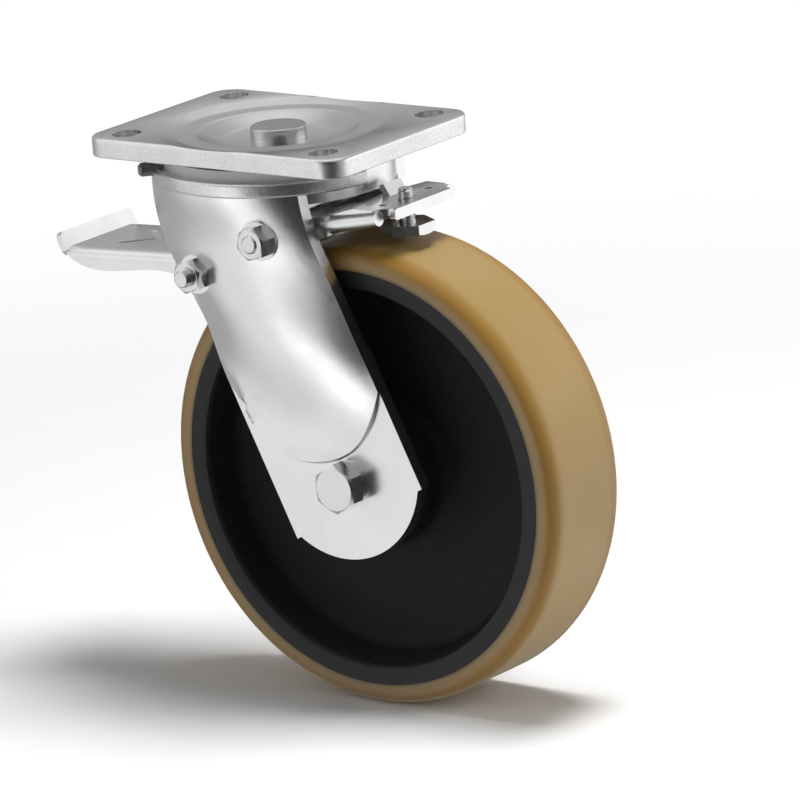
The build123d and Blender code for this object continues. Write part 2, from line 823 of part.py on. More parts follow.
# Push rod through the pedal's ears, under the fingers of the brake arm
rod_half_length = arm_inner_face + arm_sheet + 1.5
with BuildPart() as push_rod:
    round_bar(side_plane(rod_y, rod_z, -rod_half_length, 1), rod_radius, 2 * rod_half_length, 0.8)

# Brake arm: web and flat head, rolled side edges, side plates with fingers over the push rod
finger_bottom = rod_z + rod_radius + ball_run_gap
arm_web_end_y = -24.0
arm_web_end_z = -36.5
with BuildPart() as brake_arm:
    with BuildSketch(Plane.YZ):
        with BuildLine():
            Polyline(
                (head_rear_y + 1.0, head_top),
                (head_front_y, head_top),
                (arm_web_end_y, arm_web_end_z),
                (arm_web_end_y, arm_web_end_z - arm_sheet),
                (head_front_y - 0.5, head_top - arm_sheet),
                (head_rear_y + 1.0, head_top - arm_sheet),
                close=True,
            )
        make_face()
    extrude(amount=arm_inner_face + 0.5, both=True)
    with BuildSketch(Plane.XY.offset(head_top - 10)):
        for side in (-1, 1):
            with Locations((side * (arm_inner_face + 2), head_rear_y)):
                Circle(head_corner_round)
    extrude(amount=15, mode=Mode.SUBTRACT)
    with BuildSketch(Plane.XZ.offset(-head_rear_y)):
        with Locations((0, head_top - head_flange_height / 2)):
            RectangleRounded(head_flange_width, head_flange_height, 1.2)
    extrude(amount=-arm_sheet)
    for side in (-1, 1):
        roll_x = side * (arm_inner_face - 0.5)
        roll_start = Plane(origin=(roll_x, roll_start_y, head_top - 3.2), z_dir=(0, 1, -0.13))
        roll_end = Plane(origin=(roll_x, roll_end_y, head_top - 8.2), z_dir=(0, 1, -0.13))
        with BuildSketch(roll_start):
            Circle(roll_start_radius)
        with BuildSketch(roll_end):
            Circle(roll_end_radius)
        loft()
        with BuildSketch(Plane.YZ.offset(side * arm_inner_face)):
            with BuildLine():
                Polyline(
                    (-45.0, head_top - 3.6),
                    (-34.0, head_top - 5.5),
                    (arm_pivot_y + 6, arm_pivot_z + 7.6),
                    (rod_y + 5, finger_bottom + 6.0),
                    (rod_y + 5, finger_bottom),
                    (arm_pivot_y + 4, finger_bottom),
                    (arm_pivot_y - 6, arm_pivot_z - 7.6),
                    (-45.0, head_top - 12.4),
                    close=True,
                )
            make_face()
            with Locations((arm_pivot_y, arm_pivot_z)):
                Circle(arm_ear_radius)
        extrude(amount=side * arm_sheet)
    with BuildSketch(Plane.XY.offset(head_top + 4)):
        with Locations((0, screw_y)):
            Circle(screw_radius)
        with Locations((dimple_offset, screw_y), (-dimple_offset, screw_y)):
            Circle(1.6)
    extrude(amount=-12, mode=Mode.SUBTRACT)
    with BuildSketch(Plane.YZ):
        with Locations((arm_pivot_y, arm_pivot_z)):
            Circle(sleeve_radius + sleeve_run_gap)
    extrude(amount=40, both=True, mode=Mode.SUBTRACT)
    with BuildSketch(Plane.YZ.offset(lock_tab_middle_x)):
        with BuildLine():
            Polyline(
                (head_front_y + 1.5, head_top - 2.5),
                (head_front_y - 3.0, head_top - 2.5),
                (head_front_y + 1.8, lock_tab_top),
                (head_front_y + 4.3, lock_tab_top - 0.8),
                close=True,
            )
        make_face()
    extrude(amount=lock_tab_width / 2, both=True)

# Brake adjusting screw with a large flat head over the tread
with BuildPart() as brake_screw:
    hexagon_piece(
        Plane(origin=(0, screw_y, screw_head_top), z_dir=(0, 0, -1)),
        screw_flats,
        screw_head_height,
        30.0,
    )
    round_bar(
        Plane(origin=(0, screw_y, screw_head_top), z_dir=(0, 0, 1)),
        screw_radius,
        screw_top - screw_head_top,
        0.8,
    )

# One file for each piece
pieces = {
    "top_plate": top_plate,
    "kingpin": kingpin,
    "kingpin_nut": kingpin_nut,
    "lower_race": lower_race,
    "upper_balls": upper_balls,
    "lower_balls": lower_balls,
    "seal_ring": seal_ring,
    "lock_ring": lock_ring,
    "fork": fork,
    "grease_nipple": grease_nipple,
    "axle_bolt": axle_bolt,
    "axle_nut": axle_nut,
    "axle_washers": axle_washers,
    "axle_sleeve": axle_sleeve,
    "bearing_inner_rings": bearing_inner_rings,
    "bearing_outer_rings": bearing_outer_rings,
    "bearing_balls": bearing_balls,
    "bearing_shields": bearing_shields,
    "wheel_centre": wheel_centre,
    "tyre": tyre,
    "arm_bolt": arm_bolt,
    "arm_nut": arm_nut,
    "arm_sleeve": arm_sleeve,
    "pedal_bolt": pedal_bolt,
    "pedal_nut": pedal_nut,
    "pedal_sleeve": pedal_sleeve,
    "pedal": pedal,
    "push_rod": push_rod,
    "brake_arm": brake_arm,
    "brake_screw": brake_screw,
}
os.makedirs("parts", exist_ok=True)
for label, piece in pieces.items():
    piece.part.label = label
    export_step(piece.part, f"parts/{label}.step")
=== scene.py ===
import json
from math import cos, pi, radians, sin

import bpy
from bpy.props import FloatProperty, FloatVectorProperty, IntProperty, PointerProperty
from mathutils import Matrix, Vector


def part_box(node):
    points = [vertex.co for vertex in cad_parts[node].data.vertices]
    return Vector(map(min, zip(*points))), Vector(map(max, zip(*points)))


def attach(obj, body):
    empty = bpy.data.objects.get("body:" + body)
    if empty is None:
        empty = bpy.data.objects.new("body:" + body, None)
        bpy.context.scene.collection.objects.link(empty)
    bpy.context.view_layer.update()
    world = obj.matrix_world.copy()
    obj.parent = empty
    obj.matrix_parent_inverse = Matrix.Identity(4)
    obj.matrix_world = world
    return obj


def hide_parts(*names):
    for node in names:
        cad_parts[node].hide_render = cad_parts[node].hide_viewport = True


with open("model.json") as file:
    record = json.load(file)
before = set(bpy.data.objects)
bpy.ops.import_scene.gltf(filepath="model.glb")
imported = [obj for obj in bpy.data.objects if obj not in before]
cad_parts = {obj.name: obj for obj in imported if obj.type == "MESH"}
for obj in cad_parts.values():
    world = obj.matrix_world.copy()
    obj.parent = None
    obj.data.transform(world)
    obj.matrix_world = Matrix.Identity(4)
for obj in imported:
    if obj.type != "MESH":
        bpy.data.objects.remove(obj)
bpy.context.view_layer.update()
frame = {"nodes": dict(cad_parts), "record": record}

bl_info = {
    "name": "Swivel Castor",
    "version": (1, 0, 0),
    "blender": (4, 5, 0),
    "location": "3D View > Sidebar > Castor",
    "description": "Finishes a heavy braked swivel castor round its solid parts and sets its studio",
    "category": "Object",
}

MM = 0.001
MERGE = 0.000002
FINE_MERGE = 0.000001
AXLE = (-0.050, -0.145)
RIM_RADIUS = 91.0
WHEEL_HALF_WIDTH = 25.0
WHEEL_RADIUS = 100.0


# Sizes and colours

class CastorSizes(bpy.types.PropertyGroup):
    """Sizes of the finished pieces, in metres."""

    turning_steps: IntProperty(
        name="Turning steps",
        description="Steps in a full turn of a turned piece",
        default=160,
        min=24,
    )
    thread_pitch: FloatProperty(
        name="Thread pitch",
        description="Pitch of the bolt threads",
        default=0.00125,
        unit="LENGTH",
    )
    thread_depth: FloatProperty(
        name="Thread depth",
        description="Depth of the thread grooves",
        default=0.0007,
        unit="LENGTH",
    )


class CastorColours(bpy.types.PropertyGroup):
    """Colours of the finishes."""

    zinc_light: FloatVectorProperty(
        name="Zinc light", description="Bright zinc plating", subtype="COLOR", size=4,
        default=(0.87, 0.87, 0.87, 1.0), min=0.0, max=1.0,
    )
    zinc_dark: FloatVectorProperty(
        name="Zinc dark", description="Duller clouds in the plating", subtype="COLOR", size=4,
        default=(0.79, 0.79, 0.79, 1.0), min=0.0, max=1.0,
    )
    tyre_tan: FloatVectorProperty(
        name="Tyre tan", description="Polyurethane tread", subtype="COLOR", size=4,
        default=(0.34, 0.225, 0.082, 1.0), min=0.0, max=1.0,
    )
    tyre_gold: FloatVectorProperty(
        name="Tyre gold", description="Deeper amber at the shoulder", subtype="COLOR", size=4,
        default=(0.26, 0.140, 0.022, 1.0), min=0.0, max=1.0,
    )
    tyre_face: FloatVectorProperty(
        name="Tyre face", description="Amber of the tyre's side", subtype="COLOR", size=4,
        default=(0.27, 0.175, 0.066, 1.0), min=0.0, max=1.0,
    )
    tyre_brown: FloatVectorProperty(
        name="Tyre brown", description="Amber over the dark rim", subtype="COLOR", size=4,
        default=(0.110, 0.074, 0.034, 1.0), min=0.0, max=1.0,
    )
    casting_black: FloatVectorProperty(
        name="Casting black", description="Black cast wheel centre", subtype="COLOR", size=4,
        default=(0.010, 0.010, 0.010, 1.0), min=0.0, max=1.0,
    )
    rim_grey: FloatVectorProperty(
        name="Rim grey", description="Machined ring of the rim", subtype="COLOR", size=4,
        default=(0.012, 0.012, 0.012, 1.0), min=0.0, max=1.0,
    )
    seal_grey: FloatVectorProperty(
        name="Seal grey", description="Swivel seal", subtype="COLOR", size=4,
        default=(0.50, 0.50, 0.50, 1.0), min=0.0, max=1.0,
    )


def sizes():
    """Sizes of the finished pieces."""
    return bpy.context.scene.castor_sizes


def colours():
    """Colours of the finishes."""
    return bpy.context.scene.castor_colours


# Node helpers

def add_node(tree, kind, inputs=None, **settings):
    """New node with its settings, and its inputs set or linked."""
    made = tree.nodes.new(kind)
    for key, value in settings.items():
        setattr(made, key, value)
    for key, value in (inputs or {}).items():
        if isinstance(value, bpy.types.NodeSocket):
            tree.links.new(value, made.inputs[key])
        else:
            made.inputs[key].default_value = value
    return made


def maths(tree, operation, first, second=0.0, third=0.0, clamp=False):
    """Result of one maths node."""
    made = add_node(
        tree, "ShaderNodeMath", {0: first, 1: second, 2: third}, operation=operation, use_clamp=clamp
    )
    return made.outputs[0]


def colour_mix(tree, factor, first, second, blend="MIX"):
    """Colour between two colours."""
    made = add_node(tree, "ShaderNodeMix", data_type="RGBA", blend_type=blend)
    for key, value in ((0, factor), (6, first), (7, second)):
        if isinstance(value, bpy.types.NodeSocket):
            tree.links.new(value, made.inputs[key])
        else:
            made.inputs[key].default_value = value
    return made.outputs[2]


def smooth_step(tree, value, low, high, to_low=0.0, to_high=1.0):
    """Value carried smoothly from one range to another."""
    made = add_node(
        tree,
        "ShaderNodeMapRange",
        {"Value": value, "From Min": low, "From Max": high, "To Min": to_low, "To Max": to_high},
        interpolation_type="SMOOTHSTEP",
    )
    return made.outputs["Result"]


def new_group(name, inputs, outputs):
    """Empty shader node group, its input node and its output node."""
    group = bpy.data.node_groups.new(name, "ShaderNodeTree")
    for label, value in inputs.items():
        socket = group.interface.new_socket(label, in_out="INPUT", socket_type="NodeSocketFloat")
        socket.default_value = value
    for label, kind in outputs.items():
        group.interface.new_socket(label, in_out="OUTPUT", socket_type=kind)
    entry = group.nodes.new("NodeGroupInput")
    leave = group.nodes.new("NodeGroupOutput")
    return group, entry.outputs, leave.inputs


# Shared effects

def make_plating_grain():
    """Clouds, fine grain and small dimples of a plated surface."""
    group, given, out = new_group(
        "plating_grain",
        {"Cloud scale": 40.0, "Grain scale": 900.0, "Dimple scale": 260.0, "Dimple share": 1.0},
        {"Clouds": "NodeSocketFloat", "Grain": "NodeSocketFloat", "Height": "NodeSocketFloat"},
    )
    place = add_node(group, "ShaderNodeTexCoord").outputs["Object"]
    clouds = add_node(
        group, "ShaderNodeTexNoise",
        {"Vector": place, "Scale": given["Cloud scale"], "Detail": 4.0, "Roughness": 0.55},
    ).outputs["Fac"]
    grain = add_node(
        group, "ShaderNodeTexNoise",
        {"Vector": place, "Scale": given["Grain scale"], "Detail": 3.0, "Roughness": 0.7},
    ).outputs["Fac"]
    dimples = add_node(
        group, "ShaderNodeTexNoise",
        {"Vector": place, "Scale": given["Dimple scale"], "Detail": 2.0, "Roughness": 0.5},
    ).outputs["Fac"]
    group.links.new(smooth_step(group, clouds, 0.3, 0.7), out["Clouds"])
    group.links.new(smooth_step(group, grain, 0.35, 0.65), out["Grain"])
    slow = maths(group, "MULTIPLY", dimples, given["Dimple share"])
    group.links.new(maths(group, "ADD", slow, grain), out["Height"])
    return group


def make_edge_mask():
    """Mask that is 1 on the outer edges of a piece."""
    group, given, out = new_group(
        "edge_mask",
        {"Radius": 0.0008, "Start": 0.01, "End": 0.12},
        {"Mask": "NodeSocketFloat"},
    )
    place = add_node(group, "ShaderNodeNewGeometry").outputs["Normal"]
    rounded = add_node(group, "ShaderNodeBevel", {"Radius": given["Radius"]}, samples=6)
    dot = add_node(
        group, "ShaderNodeVectorMath", {0: place, 1: rounded.outputs[0]}, operation="DOT_PRODUCT"
    ).outputs["Value"]
    turn = maths(group, "SUBTRACT", 1.0, dot)
    made = add_node(
        group,
        "ShaderNodeMapRange",
        {"Value": turn, "From Min": given["Start"], "From Max": given["End"]},
        interpolation_type="SMOOTHSTEP",
    )
    group.links.new(made.outputs["Result"], out["Mask"])
    return group


def shared(name):
    """Shared effect by name, built the first time it is asked for."""
    makers = {
        "plating_grain": make_plating_grain,
        "edge_mask": make_edge_mask,
    }
    return bpy.data.node_groups.get(name) or makers[name]()


def place_group(tree, name, **inputs):
    """Shared effect placed in a material with its own values."""
    made = tree.nodes.new("ShaderNodeGroup")
    made.node_tree = shared(name)
    for key, value in inputs.items():
        made.inputs[key.replace("_", " ")].default_value = value
    return made.outputs


def new_material(name):
    """Material with its nodes on, its tree and its main shader."""
    material = bpy.data.materials.new(name)
    material.use_nodes = True
    tree = material.node_tree
    return material, tree, tree.nodes["Principled BSDF"]


def bump(tree, height, strength, distance):
    """Normal from a height."""
    made = add_node(
        tree, "ShaderNodeBump", {"Height": height, "Strength": strength, "Distance": distance}
    )
    return made.outputs["Normal"]


# Finishes

def zinc_finish(name, rough_low, rough_high, relief, tone=1.0, cloud=40.0, rough_zone=None):
    """Bright zinc plating: faint clouds, fine speckle, paler edges, and a frosted rough zone."""
    material, tree, shader = new_material(name)
    grain = place_group(
        tree, "plating_grain",
        Cloud_scale=cloud, Grain_scale=2300.0, Dimple_scale=260.0, Dimple_share=0.30,
    )
    edge = place_group(tree, "edge_mask", Radius=0.0006, Start=0.02, End=0.2)
    light = [c * tone for c in colours().zinc_light[:3]] + [1.0]
    dark = [c * tone for c in colours().zinc_dark[:3]] + [1.0]
    plain = colour_mix(tree, grain["Clouds"], dark, light)
    speck = colour_mix(tree, 0.35, plain, colour_mix(tree, grain["Grain"], dark, light))
    edged = colour_mix(tree, maths(tree, "MULTIPLY", edge["Mask"], 0.6), speck, (0.95, 0.95, 0.95, 1.0))
    rough = smooth_step(tree, grain["Clouds"], 0.0, 1.0, rough_high, rough_low)
    height = grain["Height"]
    if rough_zone:
        zone = rough_zone(tree)
        coarse = place_group(
            tree, "plating_grain",
            Cloud_scale=150.0, Grain_scale=1100.0, Dimple_scale=420.0, Dimple_share=1.2,
        )
        rough = maths(tree, "ADD", rough, maths(tree, "MULTIPLY", zone, 0.10))
        extra = maths(tree, "MULTIPLY", maths(tree, "MULTIPLY", coarse["Height"], zone), 3.0)
        height = maths(tree, "ADD", height, extra)
        pits = maths(tree, "MULTIPLY", maths(tree, "SUBTRACT", 1.0, coarse["Grain"]), zone)
        edged = colour_mix(tree, maths(tree, "MULTIPLY", pits, 0.32), edged, (0.40, 0.40, 0.40, 1.0))
    tree.links.new(edged, shader.inputs["Base Color"])
    tree.links.new(rough, shader.inputs["Roughness"])
    tree.links.new(bump(tree, height, 1.0, relief), shader.inputs["Normal"])
    shader.inputs["Metallic"].default_value = 1.0
    return material


def upright_faces(tree):
    """Mask of faces that stand upright, such as the sheared sides of the plate."""
    normal = add_node(tree, "ShaderNodeNewGeometry").outputs["Normal"]
    rise = maths(tree, "ABSOLUTE", add_node(tree, "ShaderNodeSeparateXYZ", {0: normal}).outputs["Z"])
    place = add_node(tree, "ShaderNodeTexCoord").outputs["Object"]
    below = add_node(tree, "ShaderNodeSeparateXYZ", {0: place}).outputs["Z"]
    depth = smooth_step(tree, below, -0.0010, -0.0022)
    return maths(tree, "MULTIPLY", smooth_step(tree, rise, 0.45, 0.20), depth)


def crown_rim(tree):
    """Mask of the rough pressed rim of the fork's crown."""
    place = add_node(tree, "ShaderNodeTexCoord").outputs["Object"]
    height = add_node(tree, "ShaderNodeSeparateXYZ", {0: place}).outputs["Z"]
    flat = add_node(
        tree, "ShaderNodeVectorMath", {0: place, 1: (1.0, 1.0, 0.0)}, operation="MULTIPLY"
    ).outputs["Vector"]
    reach = add_node(tree, "ShaderNodeVectorMath", {0: flat}, operation="LENGTH").outputs["Value"]
    outer = smooth_step(tree, reach, 0.0525, 0.0532)
    return maths(tree, "MULTIPLY", outer, smooth_step(tree, height, -0.0205, -0.0195))


def wheel_place(tree):
    """Distance from the wheel's middle plane and from the axle, in metres."""
    place = add_node(tree, "ShaderNodeTexCoord").outputs["Object"]
    centred = add_node(
        tree, "ShaderNodeMapping", {"Vector": place, "Location": (0.0, -AXLE[0], -AXLE[1])}
    ).outputs["Vector"]
    split = add_node(tree, "ShaderNodeSeparateXYZ", {0: centred})
    flat = add_node(
        tree, "ShaderNodeVectorMath", {0: centred, 1: (0.0, 1.0, 1.0)}, operation="MULTIPLY"
    ).outputs["Vector"]
    radius = add_node(tree, "ShaderNodeVectorMath", {0: flat}, operation="LENGTH").outputs["Value"]
    across = maths(tree, "ABSOLUTE", split.outputs["X"])
    return across, radius


# Where each colour of the tyre begins and is full: face and gold by radius, tread by distance across
TYRE_FACE = (0.0905, 0.0928)
TYRE_GOLD = (0.0940, 0.0970)
TYRE_TREAD = (0.0225, 0.0145)
RIM_RING = (0.0825, 0.0836)


def tyre_finish():
    """Amber polyurethane: brown over the rim, amber face, golden shoulder and tan tread."""
    material, tree, shader = new_material("amber_polyurethane")
    across, radius = wheel_place(tree)
    grain = place_group(tree, "plating_grain", Cloud_scale=18.0, Grain_scale=700.0, Dimple_scale=120.0)
    tint = colours()
    face = colour_mix(
        tree, smooth_step(tree, radius, *TYRE_FACE), tint.tyre_brown[:], tint.tyre_face[:]
    )
    gold = colour_mix(tree, smooth_step(tree, radius, *TYRE_GOLD), face, tint.tyre_gold[:])
    ringed = colour_mix(tree, smooth_step(tree, across, *TYRE_TREAD), gold, tint.tyre_tan[:])
    cloud = colour_mix(tree, grain["Clouds"], (0.94, 0.93, 0.90, 1.0), (1.0, 1.0, 1.0, 1.0))
    final = colour_mix(tree, 1.0, ringed, cloud, "MULTIPLY")
    tree.links.new(final, shader.inputs["Base Color"])
    rough = smooth_step(tree, grain["Clouds"], 0.0, 1.0, 0.46, 0.38)
    tree.links.new(rough, shader.inputs["Roughness"])
    tree.links.new(bump(tree, grain["Height"], 0.06, 0.0002), shader.inputs["Normal"])
    shader.inputs["Coat Weight"].default_value = 0.15
    shader.inputs["Coat Roughness"].default_value = 0.35
    shader.inputs["Subsurface Weight"].default_value = 0.15
    shader.inputs["Subsurface Radius"].default_value = (0.006, 0.003, 0.001)
    shader.inputs["Subsurface Scale"].default_value = 1.0
    return material


def casting_finish():
    """Black rough casting, its outer ring smoother and a little greyer."""
    material, tree, shader = new_material("black_casting_finish")
    radius = wheel_place(tree)[1]
    grain = place_group(tree, "plating_grain", Cloud_scale=60.0, Grain_scale=1500.0, Dimple_scale=420.0)
    ring = smooth_step(tree, radius, *RIM_RING)
    tint = colours()
    rough_black = colour_mix(
        tree, grain["Grain"], (0.003, 0.003, 0.003, 1.0), tint.casting_black[:]
    )
    base = colour_mix(tree, ring, rough_black, tint.rim_grey[:])
    tree.links.new(base, shader.inputs["Base Color"])
    tree.links.new(smooth_step(tree, ring, 0.0, 1.0, 0.55, 0.42), shader.inputs["Roughness"])
    strength = smooth_step(tree, ring, 0.0, 1.0, 1.0, 0.12)
    height = maths(tree, "MULTIPLY", grain["Height"], strength)
    tree.links.new(bump(tree, height, 0.9, 0.0005), shader.inputs["Normal"])
    shader.inputs["Specular IOR Level"].default_value = 0.28
    return material


def seal_finish():
    """Mid-grey moulded seal."""
    material, tree, shader = new_material("grey_seal_finish")
    grain = place_group(tree, "plating_grain", Cloud_scale=30.0, Grain_scale=900.0, Dimple_scale=200.0)
    base = colours().seal_grey[:]
    shade = [c * 0.9 for c in base[:3]] + [1.0]
    tree.links.new(colour_mix(tree, grain["Clouds"], shade, base), shader.inputs["Base Color"])
    tree.links.new(smooth_step(tree, grain["Clouds"], 0.0, 1.0, 0.6, 0.5), shader.inputs["Roughness"])
    tree.links.new(bump(tree, grain["Height"], 0.1, 0.0002), shader.inputs["Normal"])
    return material


def dark_steel_finish():
    """Dull dark steel of the grease nipple."""
    material, tree, shader = new_material("dark_steel_finish")
    grain = place_group(tree, "plating_grain", Cloud_scale=200.0, Grain_scale=1500.0, Dimple_scale=500.0)
    edge = place_group(tree, "edge_mask", Radius=0.0005, Start=0.02, End=0.2)
    base = colour_mix(tree, grain["Clouds"], (0.16, 0.16, 0.16, 1.0), (0.24, 0.24, 0.24, 1.0))
    final = colour_mix(tree, edge["Mask"], base, (0.4, 0.4, 0.4, 1.0))
    tree.links.new(final, shader.inputs["Base Color"])
    tree.links.new(smooth_step(tree, grain["Grain"], 0.0, 1.0, 0.5, 0.4), shader.inputs["Roughness"])
    shader.inputs["Metallic"].default_value = 0.7
    return material


def ground_steel_finish():
    """Ground and polished bearing steel with faint clouds."""
    material, tree, shader = new_material("ground_steel_finish")
    grain = place_group(tree, "plating_grain", Cloud_scale=120.0, Grain_scale=2000.0, Dimple_scale=900.0)
    base = colour_mix(tree, grain["Clouds"], (0.50, 0.50, 0.51, 1.0), (0.62, 0.62, 0.63, 1.0))
    tree.links.new(base, shader.inputs["Base Color"])
    tree.links.new(smooth_step(tree, grain["Grain"], 0.0, 1.0, 0.18, 0.28), shader.inputs["Roughness"])
    shader.inputs["Metallic"].default_value = 1.0
    return material


FINISHES = {
    "sheet": lambda: zinc_finish("zinc_sheet_finish", 0.20, 0.26, 0.000020),
    "fork": lambda: zinc_finish("zinc_fork_finish", 0.20, 0.26, 0.000020, rough_zone=crown_rim),
    "plate": lambda: zinc_finish("zinc_plate_finish", 0.20, 0.27, 0.000024, rough_zone=upright_faces),
    "fastener": lambda: zinc_finish("zinc_fastener_finish", 0.16, 0.24, 0.000010, 0.95, 120.0),
    "pin": lambda: zinc_finish("zinc_pin_finish", 0.14, 0.20, 0.000008, 0.72, 120.0),
    "tyre": tyre_finish,
    "casting": casting_finish,
    "seal": seal_finish,
    "dark_steel": dark_steel_finish,
    "ground_steel": ground_steel_finish,
}
made_finishes = {}


def finish(name):
    """Finish by name, made once."""
    if name not in made_finishes:
        made_finishes[name] = FINISHES[name]()
    return made_finishes[name]


# Modelling helpers

def nothing_selected():
    """Object mode with nothing selected."""
    if bpy.context.object and bpy.context.object.mode != "OBJECT":
        bpy.ops.object.mode_set(mode="OBJECT")
    bpy.ops.object.select_all(action="DESELECT")


def active(piece):
    """Only this piece selected and active."""
    nothing_selected()
    piece.select_set(True)
    bpy.context.view_layer.objects.active = piece


def smooth(piece, angle):
    """Smooth shading up to an angle."""
    active(piece)
    bpy.ops.object.shade_smooth_by_angle(angle=radians(angle))


def copy_of_solid(node, name):
    """Own copy of a solid part's mesh, its loose triangles merged."""
    mesh = frame["nodes"][node].data.copy()
    mesh.name = name
    piece = bpy.data.objects.new(name, mesh)
    bpy.context.scene.collection.objects.link(piece)
    mesh.materials.clear()
    active(piece)
    bpy.ops.object.mode_set(mode="EDIT")
    bpy.ops.mesh.select_all(action="SELECT")
    bpy.ops.mesh.remove_doubles(threshold=MERGE)
    bpy.ops.mesh.customdata_custom_splitnormals_clear()
    bpy.ops.object.mode_set(mode="OBJECT")
    return piece


def dress(piece, finish_name, body, slot, *nodes):
    """Finish, body and the solids that a finished piece stands for."""
    piece.data.materials.clear()
    piece.data.materials.append(finish(finish_name))
    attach(piece, body)
    if nodes:
        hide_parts(*nodes)


def turned_piece(name, outline, steps):
    """Closed outline of (along X, radius) points in millimetres, spun once round the axle."""
    nothing_selected()
    first = outline[0]
    bpy.ops.mesh.primitive_plane_add(
        size=0.001, location=(first[0] * MM, AXLE[0], AXLE[1] + first[1] * MM)
    )
    piece = bpy.context.object
    piece.name = name
    piece.data.name = name
    bpy.ops.object.transform_apply(location=True, rotation=True, scale=True)
    bpy.ops.object.mode_set(mode="EDIT")
    bpy.ops.mesh.merge(type="CENTER")
    before = first
    for point in outline[1:] + outline[:1]:
        step = ((point[0] - before[0]) * MM, 0.0, (point[1] - before[1]) * MM)
        bpy.ops.mesh.extrude_region_move(TRANSFORM_OT_translate={"value": step})
        before = point
    bpy.ops.mesh.select_all(action="SELECT")
    bpy.ops.mesh.remove_doubles(threshold=FINE_MERGE)
    bpy.ops.mesh.select_all(action="SELECT")
    bpy.ops.mesh.spin(
        steps=steps, angle=2 * pi, center=(0.0, AXLE[0], AXLE[1]), axis=(1.0, 0.0, 0.0)
    )
    bpy.ops.mesh.select_all(action="SELECT")
    bpy.ops.mesh.remove_doubles(threshold=MERGE)
    bpy.ops.mesh.normals_make_consistent(inside=False)
    bpy.ops.object.mode_set(mode="OBJECT")
    return piece


THREAD_FLANK = 0.44
THREAD_CREST = 0.12
THREAD_END_BEVEL = 0.0009
THREAD_STEPS = 32


def threaded_rod(name, radius, low, high):
    """Threaded rod on a line along Z, its two ends cut flat."""
    pitch = sizes().thread_pitch
    root = radius - sizes().thread_depth
    nothing_selected()
    bpy.ops.mesh.primitive_plane_add(size=0.001, location=(root, 0.0, low - pitch))
    piece = bpy.context.object
    piece.name = name
    piece.data.name = name
    bpy.ops.object.transform_apply(location=True, rotation=True, scale=True)
    bpy.ops.object.mode_set(mode="EDIT")
    bpy.ops.mesh.merge(type="CENTER")
    rise = radius - root
    flank, crest = THREAD_FLANK * pitch, THREAD_CREST * pitch
    steps = ((rise, flank), (0.0, crest), (-rise, flank))
    for across, along in steps:
        bpy.ops.mesh.extrude_region_move(TRANSFORM_OT_translate={"value": (across, 0.0, along)})
    bpy.ops.object.mode_set(mode="OBJECT")
    winding = piece.modifiers.new("winding", "SCREW")
    winding.axis = "Z"
    winding.screw_offset = pitch
    winding.iterations = int((high - low) / pitch) + 3
    winding.steps = THREAD_STEPS
    winding.render_steps = THREAD_STEPS
    winding.use_merge_vertices = True
    bpy.ops.object.modifier_apply(modifier=winding.name)
    bpy.ops.object.mode_set(mode="EDIT")
    for height, outer in ((low, False), (high, True)):
        bpy.ops.mesh.select_all(action="SELECT")
        bpy.ops.mesh.remove_doubles(threshold=MERGE)
        bpy.ops.mesh.select_all(action="SELECT")
        bpy.ops.mesh.bisect(
            plane_co=(0.0, 0.0, height),
            plane_no=(0.0, 0.0, 1.0),
            use_fill=True,
            clear_outer=outer,
            clear_inner=not outer,
            threshold=FINE_MERGE,
        )
    bpy.ops.mesh.select_all(action="SELECT")
    bpy.ops.mesh.normals_make_consistent(inside=False)
    bpy.ops.object.mode_set(mode="OBJECT")
    for vertex in piece.data.vertices:
        reach = (vertex.co.x ** 2 + vertex.co.y ** 2) ** 0.5
        limit = radius - max(0.0, vertex.co.z - high + THREAD_END_BEVEL)
        if reach > limit:
            vertex.co.x *= limit / reach
            vertex.co.y *= limit / reach
    return piece


def cut_end(piece, place, way):
    """Cut away what lies beyond a plane and close the cut."""
    active(piece)
    bpy.ops.object.mode_set(mode="EDIT")
    bpy.ops.mesh.select_all(action="SELECT")
    bpy.ops.mesh.bisect(
        plane_co=place, plane_no=way, use_fill=True, clear_outer=True, threshold=FINE_MERGE
    )
    bpy.ops.mesh.select_all(action="SELECT")
    bpy.ops.mesh.normals_make_consistent(inside=False)
    bpy.ops.object.mode_set(mode="OBJECT")


def stand(piece, place, towards):
    """Turn a piece that stands on the origin along Z towards an axis and move it to its place."""
    active(piece)
    turns = {"-X": ("Y", -90.0), "X": ("Y", 90.0), "Z": ("Z", 0.0)}
    axis, angle = turns[towards]
    bpy.ops.transform.rotate(
        value=-radians(angle), orient_axis=axis, center_override=(0.0, 0.0, 0.0)
    )
    bpy.ops.transform.translate(value=place)
    bpy.ops.object.transform_apply(location=True, rotation=True, scale=True)


def joined(piece, *others):
    """One piece made of several."""
    nothing_selected()
    for other in others:
        other.select_set(True)
    piece.select_set(True)
    bpy.context.view_layer.objects.active = piece
    bpy.ops.object.join()
    return piece


def arc_points(centre, radii, start, end, count):
    """Points on an elliptical arc, its angles in degrees."""
    return [
        (
            centre[0] + radii[0] * cos(radians(start + (end - start) * i / count)),
            centre[1] + radii[1] * sin(radians(start + (end - start) * i / count)),
        )
        for i in range(count + 1)
    ]


# Pieces

